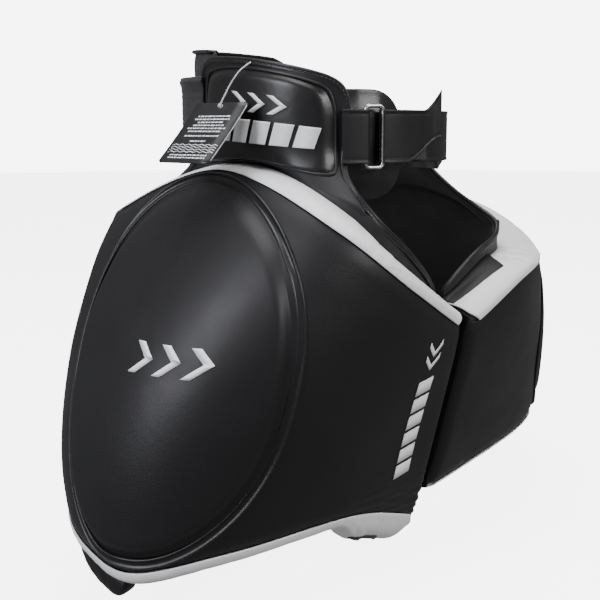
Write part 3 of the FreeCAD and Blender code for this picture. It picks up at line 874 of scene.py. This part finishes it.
def outward(name, at):
    """Away from the wearer's axis beside the belt, or from the thigh's axis lower down."""
    beside_belt = at.z > -0.06
    centre = Vector((0.0, WAIST_CENTRE_Y, at.z)) if beside_belt else Vector((SIDES[name] * 0.05, 0.0, at.z))
    return (at - centre).normalized()


def add_tab(name):
    seam = TAB_THICKNESS * 0.6
    sheets = (("tab_leather", 0.0, seam, BLACK, "black_leather", ["hip_tab"]),
              ("tab_backing", seam, TAB_THICKNESS + 0.0008, LINING, "lining_fabric", []))
    for part, near, far, material, slot, nodes in sheets:
        piece = block(f"{name}_{part}", tab_sheet, spaced(30, 0.02), spaced(26, 0.01), material,
                      of=(name, near, far))
        settle_bending(piece, name, slot, *[f"{name}_{n}" for n in nodes])
    outline = back_outline(name)
    normals = [outward(name, at) for at in outline]
    binding = sweep(f"{name}_edge_binding", outline, normals, oval_profile(0.0040, 0.0032, 12, 0.45),
                    PIPING, levels=1)
    settle_bending(binding, name, "piping", f"{name}_tab_binding")
    lifted = [at + normal * 0.0026 for at, normal in zip(outline, normals)]
    stitches = stitch_row(f"{name}_binding_stitches", lifted, lambda at: outward(name, at), DARK_THREAD)
    settle_bending(stitches, name, "piping")
    add_badge(name)


def badge_height(u, v):
    """The badge pad's rise over the tab: rounded shoulders and a low crown."""
    x, y = abs(2 * u - 1), abs(2 * v - 1)
    edge = (x ** 7 + y ** 7) ** (1 / 7)
    return 0.0008 + 0.0052 * smooth((1.0 - edge) / 0.16) + 0.0022 * cos(x * pi / 2) * cos(y * pi / 2)


def badge_place(name, u, v, height):
    """A point of the badge pad's face, its corners rounded."""
    a, b = 2 * u - 1, 2 * v - 1
    reach = 1 - 0.10 * (abs(a) * abs(b)) ** 3
    u, v = 0.5 + 0.5 * a * reach, 0.5 + 0.5 * b * reach
    tab_v = mix(mix(0.22, 0.30, u), 0.962, v)
    return tab_point(name, mix(0.05, 0.92, u), tab_v, -height)


def badge_point(name, u, v, w):
    crease = 0.0006 * uneven(u * 4, v * 3, 1.5)
    return badge_place(name, u, v, mix(0.0004, badge_height(u, v) + crease, w))


def add_badge(name):
    us = [0, 0.01, 0.03, 0.055, 0.085, 0.12, *[i / 20 for i in range(4, 17)], 0.88, 0.915, 0.945, 0.97,
          0.99, 1]
    vs = [0, 0.015, 0.04, 0.07, 0.10, 0.14, *[i / 12 for i in range(3, 10)], 0.86, 0.90, 0.93, 0.96,
          0.985, 1]
    pad = block(f"{name}_badge_cushion", badge_point, us, vs, GLOSSY, of=(name,))
    settle_bending(pad, name, "black_leather", f"{name}_badge_pad")

    def seam(k, height):
        angle = 2 * pi * (k + 0.5) / 120
        reach = 0.497 / max(abs(cos(angle)), abs(sin(angle)))
        return badge_place(name, 0.5 + reach * cos(angle), 0.5 + reach * sin(angle), height)
    path, normals = line_on(120, seam, 0.0010, 0.010)
    welt = sweep(f"{name}_badge_welt", path, normals, oval_profile(0.0017, 0.0016, 10, 0.3), PIPING,
                 closed=True, levels=1)
    settle_bending(welt, name, "piping")


# ---- printed marks: plain chevrons and slanted blocks -------------------------------------
def chevrons(count, width, height, pitch, centre=(0.0, 0.0)):
    """Chevrons that point along +a, each of two slanted bars."""
    shapes = []
    for k in range(count):
        a = centre[0] + (k - (count - 1) / 2) * pitch
        for b in (-1, 1):
            tip, far = a + height * 0.28, a - height * 0.28
            middle, foot = centre[1], centre[1] + b * height / 2
            shapes.append(((tip, middle), (far, foot), (far - width, foot), (tip - width, middle)))
    return shapes


def slanted_blocks(count, width, height, gap, centre, slant=0.22):
    """A row of plain slanted blocks along a."""
    shapes = []
    for k in range(count):
        a = centre[0] + (k - (count - 1) / 2) * (width + gap)
        low, high = centre[1] - height / 2, centre[1] + height / 2
        lean = slant * height / 2
        shapes.append(((a - width / 2 - lean, low), (a - width / 2 + lean, high),
                       (a + width / 2 + lean, high), (a + width / 2 - lean, low)))
    return shapes


def add_marks():
    """Both strike pads, both badges and the right shield's front carry the marks."""
    def on_pad(name):
        side, (middle, half) = SIDES[name], OVAL_HEIGHTS[name]
        centre_t, centre_z, radius = 66.6, middle + 0.0125, 0.205

        def place(a, b, height):
            t, z = centre_t - degrees(a / radius), centre_z + b
            up = (z - middle) / half
            out = (t - OVAL_ANGLES[0] - OVAL_BEND[0] * up * up - OVAL_BEND[1] * up) / OVAL_ANGLES[1]
            flat = shield_point(side, t, z, 0.0)
            return shield_point(side, t, z, -pad_rise(name, flat, hypot(up, out)) - 0.0003 - height)
        return place
    for name in SIDES:
        mark = print_marks(f"{name}_strike_mark", chevrons(3, 0.0085, 0.026, 0.027), on_pad(name), INK)
        settle(mark, f"{name}_shield", "white_leather")

        def on_badge(a, b, height):
            u, v = 0.455 - a / 0.125, 0.51 + b / 0.109
            return badge_place(name, u, v, badge_height(u, v) + 0.0013 + height)
        shapes = chevrons(3, 0.0055, 0.018, 0.017, (0.002, 0.0215))
        shapes += slanted_blocks(5, 0.0145, 0.0225, 0.0032, (0.002, -0.006))
        settle_bending(print_marks(f"{name}_badge_mark", shapes, on_badge, INK, 12), name, "white_leather")

    def on_front(a, b, height):
        t, z = 10.4 + degrees(b / 0.30), -0.281 - a
        puff, ripple = face_relief("right", t, z)
        return shield_point(-1, t, z, puff + ripple - 0.0004 - height)
    shapes = chevrons(2, 0.006, 0.020, 0.014, (-0.064, 0.0))
    shapes += slanted_blocks(6, 0.0150, 0.020, 0.0035, (0.012, 0.0), 0.18)
    settle(print_marks("right_front_mark", shapes, on_front, INK), "right_shield", "white_leather")


# ---- belt -------------------------------------------------------------------------------
def panel_point(name, u, v, w):
    """The padded panel behind the closure, rounded at its free end."""
    first, last = {"right": (15.8, 57.0), "left": (15.8, 75.0)}[name]
    half, gain, middle = {"right": (0.020, 0.034, -0.008), "left": (0.013, 0.012, -0.012)}[name]
    end = (1 - (1 - min(u / 0.35, 1.0)) ** 2) ** 0.5
    edge = min(2 * min(v, 1 - v), 2 * min(u, 1 - u))
    swell = 0.0045 * smooth(edge / 0.5)
    crease = uneven(u * 6, v * 4, SIDES[name] * 4.0) * 0.0016
    d = mix(TAB_THICKNESS + 0.0046 - swell, 0.0095 + swell * 0.6, w) + crease
    return waist_point(name, mix(first, last, u), middle + (half + gain * end) * (2 * v - 1), d)


def belt_bulge(t):
    """How far the right-hand belt stands outside the waist loop at this plan angle."""
    rise, start, span = 0.009, 117.5, 45.5
    return rise * sin(pi * min(max((t - start) / span, 0.0), 1.0)) ** 2


def belt_sweep(u, z, d):
    t = mix(109.0, 224.0, u)
    if t <= 180.0:
        return waist_point("right", t, z, d - belt_bulge(t))
    return waist_point("left", 360.0 - t, z, d)


def belt_top(u):
    return 0.086 + 0.007 * sin(pi * u) - 0.022 * smooth((u - 0.7) / 0.3)


def belt_point(u, v, w):
    """The back belt, quilted in three long channels."""
    channel = abs(sin(3 * pi * v)) ** 0.6
    tuck = 0.0036 * channel * smooth(min(u, 1 - u) / 0.03)
    crease = uneven(u * 14, v * 3, 2.0) * 0.0012
    d = mix(TAB_THICKNESS + 0.0038 - tuck * 0.8, 0.0100 + tuck * 0.6, w) + crease
    return belt_sweep(u, mix(-0.020, belt_top(u), v), d)


def side_strap_point(name, u, v, w):
    """The ribbed elastic strap that bulges over the gap between tab and back belt."""
    first, last = {"right": (112.0, 139.0), "left": (140.5, 167.5)}[name]
    z = mix(0.010, 0.062, v)
    ridge = 0.0004 * sin(v * pi * 14)
    t = mix(first, last, u)
    bulge = belt_bulge(t) if name == "right" else 0.0
    out = 0.001 + 0.008 * sin(pi * u) + bulge + 0.002 * bell(v - 0.9, 0.08)
    return waist_point(name, t, z, -out - w * STRAP_THICKNESS - (w - 0.5) * ridge)


def add_belt():
    belt = block("back_belt_pad", belt_point, spaced(60, 0.008), spaced(36, 0.01), WEBBING)
    belt.data.materials.append(SUEDE)
    for face in belt.data.polygons:      # suede on the side towards the wearer
        towards = Vector((-face.center.x, WAIST_CENTRE_Y - face.center.y, 0.0))
        face.material_index = 1 if face.normal.dot(towards) > 0.05 else 0
    settle(belt, "root", "black_leather", "back_belt")
    rim = [belt_sweep(mix(0.004, 0.996, i / 60), belt_top(i / 60) + 0.0005, 0.0075) for i in range(61)]
    normals = [Vector((0, 0, 1))] * 61
    settle(sweep("back_belt_binding", rim, normals, oval_profile(0.0062, 0.0026, 12, 0.3), PIPING, levels=1),
           "root", "piping")
    for name in SIDES:
        panel = block(f"{name}_panel_cushion", panel_point, spaced(26, 0.015), spaced(16, 0.03), GLOSSY,
                      of=(name,))
        settle(panel, "root", "black_leather", f"{name}_front_panel")
        elastic = block(f"{name}_elastic_strap", side_strap_point, spaced(20, 0.01), spaced(28, 0.02),
                        WEBBING, of=(name,))
        settle(elastic, "root", "webbing", f"{name}_side_strap")


# ---- straps -----------------------------------------------------------------------------
def smooth_route(route, count=90):
    """Evenly spread points on a smooth curve through the route's plan points."""
    points = [Vector((x, y, 0.0)) for x, y in route]
    points = [points[0] * 2 - points[1]] + points + [points[-1] * 2 - points[-2]]
    dense = []
    for a, b, c, d in zip(points, points[1:], points[2:], points[3:]):
        span = max((c - b).length, 1e-9)
        before, after = max((b - a).length, 1e-9), max((d - c).length, 1e-9)
        start = ((c - b) / span + (b - a) / before) / 2 * span
        end = ((d - c) / after + (c - b) / span) / 2 * span
        for k in range(24):
            u = k / 24
            dense.append(hermite(b, start, c, end, u))
    dense.append(points[-2])
    steps = [(b - a).length for a, b in zip(dense, dense[1:])]
    pitch, out, walked, i = sum(steps) / count, [dense[0]], 0.0, 0
    for k in range(1, count):
        while walked + steps[i] < k * pitch:
            walked += steps[i]
            i += 1
        out.append(dense[i].lerp(dense[i + 1], (k * pitch - walked) / steps[i]))
    return out + [dense[-1]]


def strap(name, route, thickness, low, high, material, tip=None, count=90):
    """A flat upright strap with rolled edges; tip(u) narrows it towards its free end."""
    line = smooth_route(route, count)

    def point(u, v, w):
        i = min(int(round(u * count)), count)
        ahead = (line[min(i + 1, count)] - line[max(i - 1, 0)]).normalized()
        across = Vector((ahead.y, -ahead.x, 0.0))
        edge = min(v, 1 - v) * (high - low)
        rolled = 0.0005 * bell(edge - 0.0014, 0.0012) - 0.00035 * bell(edge - 0.0042, 0.0010)
        bottom, top = tip(u, low, high) if tip else (low, high)
        side = copysign(1.0, thickness)
        offset = w * thickness + side * (rolled if w > 0.5 else -rolled)
        return line[i] + across * offset + Vector((0, 0, mix(bottom, top, v)))
    us = [i / count for i in range(count + 1)]
    vs = [0, 0.01, 0.028, 0.05, 0.08, 0.11, *[mix(0.16, 0.84, i / 6) for i in range(7)], 0.89, 0.92, 0.95,
          0.972, 0.99, 1]
    return block(name, point, us, vs, material), line


def turned(centre, along, radius, start, end, count=7):
    """Plan points on an arc round a ring's bar; angle 0 points along, 90 away from the wearer."""
    across = Vector((along.y, -along.x, 0.0))
    points = []
    for i in range(count):
        angle = radians(mix(start, end, i / (count - 1)))
        at = centre + along * (radius * cos(angle)) + across * (radius * sin(angle))
        points.append((at.x, at.y))
    return points


def waist_run(name, angles, d):
    """Plan points on the waist loop at these plan angles."""
    return [(p.x, p.y) for p in (waist_point(name, t, 0, d) for t in angles)]


def strap_stitches(name, line, thickness, heights, body, slot, first=0.03, last=0.97):
    """Two rows of stitches along a strap, on its outer side."""
    chosen = line[int(len(line) * first):int(len(line) * last)]
    for row, height in enumerate(heights):
        path, normals = [], []
        for a, b in zip(chosen, chosen[1:]):
            ahead = (b - a).normalized()
            across = Vector((ahead.y, -ahead.x, 0.0)) * copysign(1.0, thickness)
            path.append(a + across * (abs(thickness) + 0.0001) + Vector((0, 0, height)))
            normals.append(across)
        middle = normals[len(normals) // 2]
        rows = stitch_row(f"{name}_stitches_{row + 1}", path, lambda at: middle, DARK_THREAD, radius=0.0003)
        settle(rows, body, slot)


def add_closure():
    """Ring loop, closing strap and its free end; the ring and the hook patch are the CAD ones."""
    centre = waist_point("right", 30.4, 0, -0.005)
    along = (waist_point("right", 25.0, 0, -0.005) - waist_point("right", 35.5, 0, -0.005)).normalized()
    reach, half = RING_WIRE + 0.0005, STRAP_WIDTH / 2
    far_bar, near_bar = centre - along * RING_HALF_WIDTH, centre + along * RING_HALF_WIDTH
    loop = waist_run("right", (42.0, 38.5), -0.0028) + turned(far_bar, along, reach, -95, 95)
    loop += waist_run("right", (38.5, 42.0), -0.0082)
    piece, _ = strap("ring_loop_strap", loop, -0.0016, -half, half, BLACK)
    settle(piece, "root", "black_leather", "ring_loop")
    base = turned(near_bar, along, reach, -150, -95, 3) + waist_run("right", (21.9, 12.5), -0.0005)
    base += waist_run("left", (7.4, 24.7, 44.2, 65.3), -0.0005)
    piece, line = strap("closing_strap_base", base, -STRAP_THICKNESS + 0.0006, -half, half, BLACK, count=140)
    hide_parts("closing_strap")
    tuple(line[30])
    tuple(line[3])
    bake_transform(piece)
    outer = turned(near_bar, along, reach, 105, 92, 2) + waist_run("right", (21.9, 14.5), -0.009)
    outer += [(-0.020, -0.1542), (-0.012, -0.1558), (-0.005, -0.160)]

    def tip(u, low, high):
        """The free end is cut to a raised point."""
        return low + 0.024 * smooth((u - 0.35) / 0.65), high + 0.021 * max((u - 0.70) / 0.30, 0.0) ** 1.8
    piece, line = strap("closing_strap_free_end", outer, STRAP_THICKNESS, -half, half, BLACK, tip=tip)
    settle(piece, "strap_end", "black_leather", "closing_strap_end")
    strap_stitches("closing_strap", line, STRAP_THICKNESS, (-half + 0.005, half - 0.005), "strap_end",
                   "black_leather", 0.05, 0.80)


def add_thigh_straps(name):
    """Two straps behind the thigh: each turns through its ring and folds back as a tail."""
    side, body = SIDES[name], f"{name}_shield"
    half = THIGH_STRAP_WIDTH / 2

    def inner(t, away, height):
        at = shield_point(1, t, height, PAD_DEPTH + away)
        return at.x, at.y
    for level, middle in THIGH_STRAP_HEIGHTS.items():
        low, high = middle - half, middle + half
        ring_at, along = Vector((0.048, 0.012, 0.0)), Vector((-0.38, -0.925, 0.0))
        reach = RING_WIRE + 0.0005
        far_bar, near_bar = ring_at - along * 0.008, ring_at + along * 0.008
        long_run = [inner(98, 0.0026, high), inner(106, 0.004, high)]
        long_run += [(0.236, 0.076), (0.203, 0.111), (0.158, 0.121), (0.112, 0.102), (0.068, 0.058)]
        long_run += turned(far_bar, along, reach, 265, 310, 3)
        wall_y = inner(12, 0.0036, low)[1]
        short_run = turned(near_bar, along, reach, 125, 95, 2)
        short_run += [(0.036, -0.025), (0.027, mix(-0.025, wall_y, 0.45)), (0.034, wall_y + 0.012)]
        short_run += [inner(t, 0.0038, low) for t in (12, 17, 23)]
        tail = turned(far_bar, along, reach, 75, 88, 2) + [(0.063, 0.061), (0.108, 0.1085), (0.150, 0.124)]
        thin = STRAP_THICKNESS - 0.0004
        runs = (("strap", long_run, -thin, WEBBING, body, "webbing"),
                ("ring_strap", short_run, thin, WEBBING, body, "webbing"),
                ("strap_tail", tail, -thin, HOOKS, f"{name}_{level}_tail", "hook_fabric"))
        for part, route, thickness, material, rides, slot in runs:
            route = [(side * x, y) for x, y in route]
            piece, line = strap(f"{name}_{level}_{part}_web", route, side * thickness, low, high, material)
            settle(piece, rides, slot, f"{name}_{level}_{part}")
            strap_stitches(f"{name}_{level}_{part}", line, side * thickness, (low + 0.004, high - 0.004),
                           rides, slot)


# ---- hang tag ---------------------------------------------------------------------------
def add_tag():
    """A thin card with rounded corners, rows of plain dashes and a zig-zag band."""
    along = TAG_ALONG.normalized()
    down = (TAG_DOWN - along * TAG_DOWN.dot(along)).normalized()
    facing = along.cross(down)
    if facing.dot(Vector((-1, -1, 0))) < 0:
        facing = -facing
    width, height = TAG_SIZE

    def place(a, b, lift):
        curl = 0.004 * (b / height) ** 2
        return TAG_CORNER + along * a + down * b + facing * (lift - 0.0004) + facing * curl

    def card_point(u, v, w):
        corner = 0.004
        near = min(min(v, 1 - v) * height / corner, 1.0)
        inset = corner * (1 - (1 - (1 - near) ** 2) ** 0.5)
        return place(mix(inset, width - inset, u), v * height, mix(-0.0003, 0.0005, w))
    vs = [0, 0.004, 0.013, 0.03, 0.052, *[mix(0.08, 0.92, i / 8) for i in range(9)], 0.948, 0.97, 0.987,
          0.996, 1]
    card = block("tag_card_sheet", card_point, [0, 0.25, 0.5, 0.75, 1], vs, CARD, levels=0)
    settle(card, "tag", "tag_card", "tag")
    shapes = []
    for row, share in enumerate((0.62, 0.68, 0.50, 0.60, 0.74, 0.64)):
        shapes += dashes(width, 0.0175 + 0.0040 * row, share, row)
    shapes += dashes(width, 0.0435, 0.66, 7) + dashes(width, 0.0505, 0.30, 8)
    shapes += dashes(width, 0.0690, 0.72, 9) + dashes(width, 0.0725, 0.72, 10)
    for row in range(4):
        shapes += zigzag(width, 0.0548 + 0.0031 * row)
    marks = print_marks("tag_print", shapes, lambda a, b, lift: place(a, b, 0.0006 + lift), INK, 1, 0.00012)
    settle(marks, "tag", "tag_card")
    edge = [place(width - 0.0002, mix(0.004, height - 0.004, i / 10), 0.0002) for i in range(11)]
    settle(sweep("tag_light_edge", edge, [facing] * 11, oval_profile(0.0004, 0.0005, 8), CARD_EDGE),
           "tag", "tag_card")

    def eyelet(phi):
        return place(width / 2 + 0.0024 * cos(phi), 0.005 + 0.0024 * sin(phi), 0.0006)
    rim = [eyelet(2 * pi * k / 24) for k in range(24)]
    settle(sweep("tag_eyelet", rim, [facing] * 24, oval_profile(0.0006, 0.0005, 8), STEEL, closed=True),
           "tag", "tag_card")


def dashes(width, b, share, seed):
    """A centred row of dashes of uneven length, as a stand-in for small print."""
    shapes, a, end, k = [], width * (1 - share) / 2, width * (1 + share) / 2, seed
    while a < end:
        length = (0.0022, 0.0046, 0.0034, 0.0058, 0.0028)[k % 5]
        stop = min(a + length, end)
        shapes.append(((a, b), (stop, b), (stop - 0.0003, b + 0.0017), (a - 0.0003, b + 0.0017)))
        a, k = stop + 0.0011, k + 1
    return shapes


def zigzag(width, b):
    """A zig-zag line across the tag."""
    count, rise, thick = 14, 0.0018, 0.0008
    step = (width - 0.008) / count
    shapes = []
    for k in range(count):
        a0, a1 = 0.004 + step * k, 0.004 + step * (k + 1)
        b0, b1 = (b, b + rise) if k % 2 else (b + rise, b)
        shapes.append(((a0, b0), (a1, b1), (a1, b1 + thick), (a0, b0 + thick)))
    return shapes


# ---- carried-over nodes, floor and light --------------------------------------------------
def dress_cad_nodes():
    """Rings and the hook patch stay as they are and get their finish."""
    finishes = {f"{name}_{level}_ring": STEEL for name in SIDES for level in THIGH_STRAP_HEIGHTS}
    for title, material in {**finishes, "front_ring": STEEL, "strap_hook_patch": HOOKS}.items():
        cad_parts[title].data.materials.clear()
        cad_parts[title].data.materials.append(material)


def area_light(name, place, target, size, energy, colour):
    light = bpy.data.lights.new(name, "AREA")
    light.shape, light.size, light.size_y = "RECTANGLE", size[0], size[1]
    light.energy, light.color = energy, colour
    lamp = add_object(name, light)
    lamp.location = place
    lamp.rotation_euler = (Vector(place) - Vector(target)).to_track_quat("Z", "Y").to_euler()


def add_studio():
    """A pale floor under a white dome that only the camera sees, and large soft lights."""
    floor_z = cad_box[0][2] - 0.012
    material, tree, shader = blank("backdrop", (0.90, 0.90, 0.90), 0.85)
    patches = ranged(tree, scaled_noise(tree, 3.0), 0.0, 1.0)
    toned(tree, shader, patches, (0.93, 0.93, 0.93), (0.95, 0.95, 0.95))
    bumped(tree, shader, [(scaled_noise(tree, 180.0), 0.05, 0.001)])
    set_inputs(shader, {"Emission Color": (1.0, 1.0, 1.0, 1.0), "Emission Strength": 5.0})
    half, radius = 9.0, 8.5
    corners = ((-half, -half), (half, -half), (half, half), (-half, half))
    floor = finish_mesh("floor", [(x, y, floor_z) for x, y in corners], [[0, 1, 2, 3]], material)
    glow, tree, shader = blank("dome", (1.0, 1.0, 1.0), 1.0)
    set_inputs(shader, {"Emission Color": (1.0, 1.0, 1.0, 1.0), "Emission Strength": 6.5})

    def overhead(u, v):
        turn, tilt = 2 * pi * u, radians(mix(-4.0, 90.0, v))
        return (radius * cos(tilt) * cos(turn), radius * cos(tilt) * sin(turn), floor_z + radius * sin(tilt))
    dome = globe("dome", 8, 32, overhead, glow)
    for backdrop in (floor, dome):
        backdrop.visible_glossy = backdrop.visible_diffuse = False
    dome.visible_shadow = dome.visible_transmission = False
    world = bpy.data.worlds.new("studio")
    world.use_nodes = True
    set_inputs(world.node_tree.nodes["Background"], {"Color": (1.0, 1.0, 1.0, 1.0), "Strength": 0.28})
    bpy.context.scene.world = world
    area_light("key", (-2.2, 0.1, 1.0), (-0.2, 0.0, -0.2), (0.9, 1.4), 46.0, (0.92, 0.92, 1.0))
    area_light("front", (0.2, -2.3, 1.1), (0.0, 0.0, -0.2), (1.2, 0.8), 40.0, (1.0, 0.97, 0.98))
    area_light("top", (0.0, 0.1, 2.0), (0.0, 0.0, 0.0), (1.4, 1.4), 42.0, (1.0, 1.0, 1.0))


add_camera()
add_string()
for side_name in SIDES:
    add_shield(side_name)
    add_strike_pad(side_name)
    add_tab(side_name)
    add_thigh_straps(side_name)
add_painted_fold_shade()
add_marks()
add_belt()
add_closure()
add_tag()
dress_cad_nodes()
add_studio()
